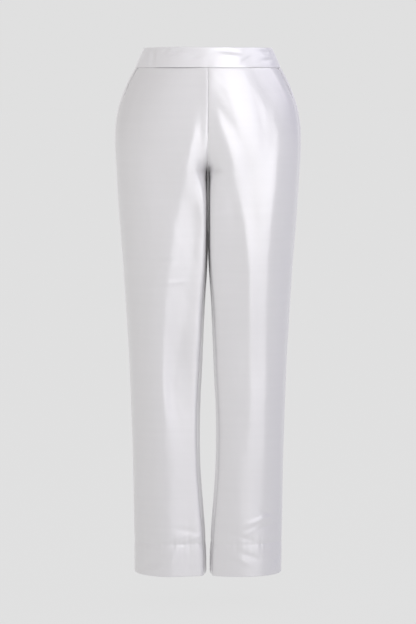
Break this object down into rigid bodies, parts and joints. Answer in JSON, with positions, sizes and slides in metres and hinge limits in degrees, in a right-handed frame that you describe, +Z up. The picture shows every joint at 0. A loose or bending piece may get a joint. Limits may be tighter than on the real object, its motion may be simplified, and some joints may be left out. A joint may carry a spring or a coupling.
{
  "type": "tapered trousers",
  "caption": "Full-length tapered trousers in ivory silk satin with a contoured waistband, side pockets, a centre-back zip and deep hems.",
  "frame": {"origin": "centre of the waist opening, level with the top edge of the waistband, where the wearer holds the garment up", "axes": "+Z up out of the waist opening, -Y the way the front faces, +X towards the wearer's left leg; the legs hang down along -Z"},
  "size_m": [0.3652, 0.2387, 1.038],
  "materials": {
    "silk_satin": "lustrous silk satin with fine slubs across",
    "band_silk": "the same silk on a stiffened waistband",
    "pocket_silk": "the same silk, in shade inside the pocket",
    "zip_tape": "matt woven tape",
    "zip_metal": "plated, satin"
  },
  "bodies": {
    "root": {"waistband_front": "band_silk", "waistband_back_left": "band_silk", "waistband_back_right": "band_silk", "front_left": "silk_satin", "front_right": "silk_satin", "back_left": "silk_satin", "back_right": "silk_satin", "pocket_left": "pocket_silk", "pocket_right": "pocket_silk", "zip_tape": "zip_tape", "zip_slider": "zip_metal", "waist_hook": "zip_metal", "waist_bar": "zip_metal"}
  },
  "joints": []
}
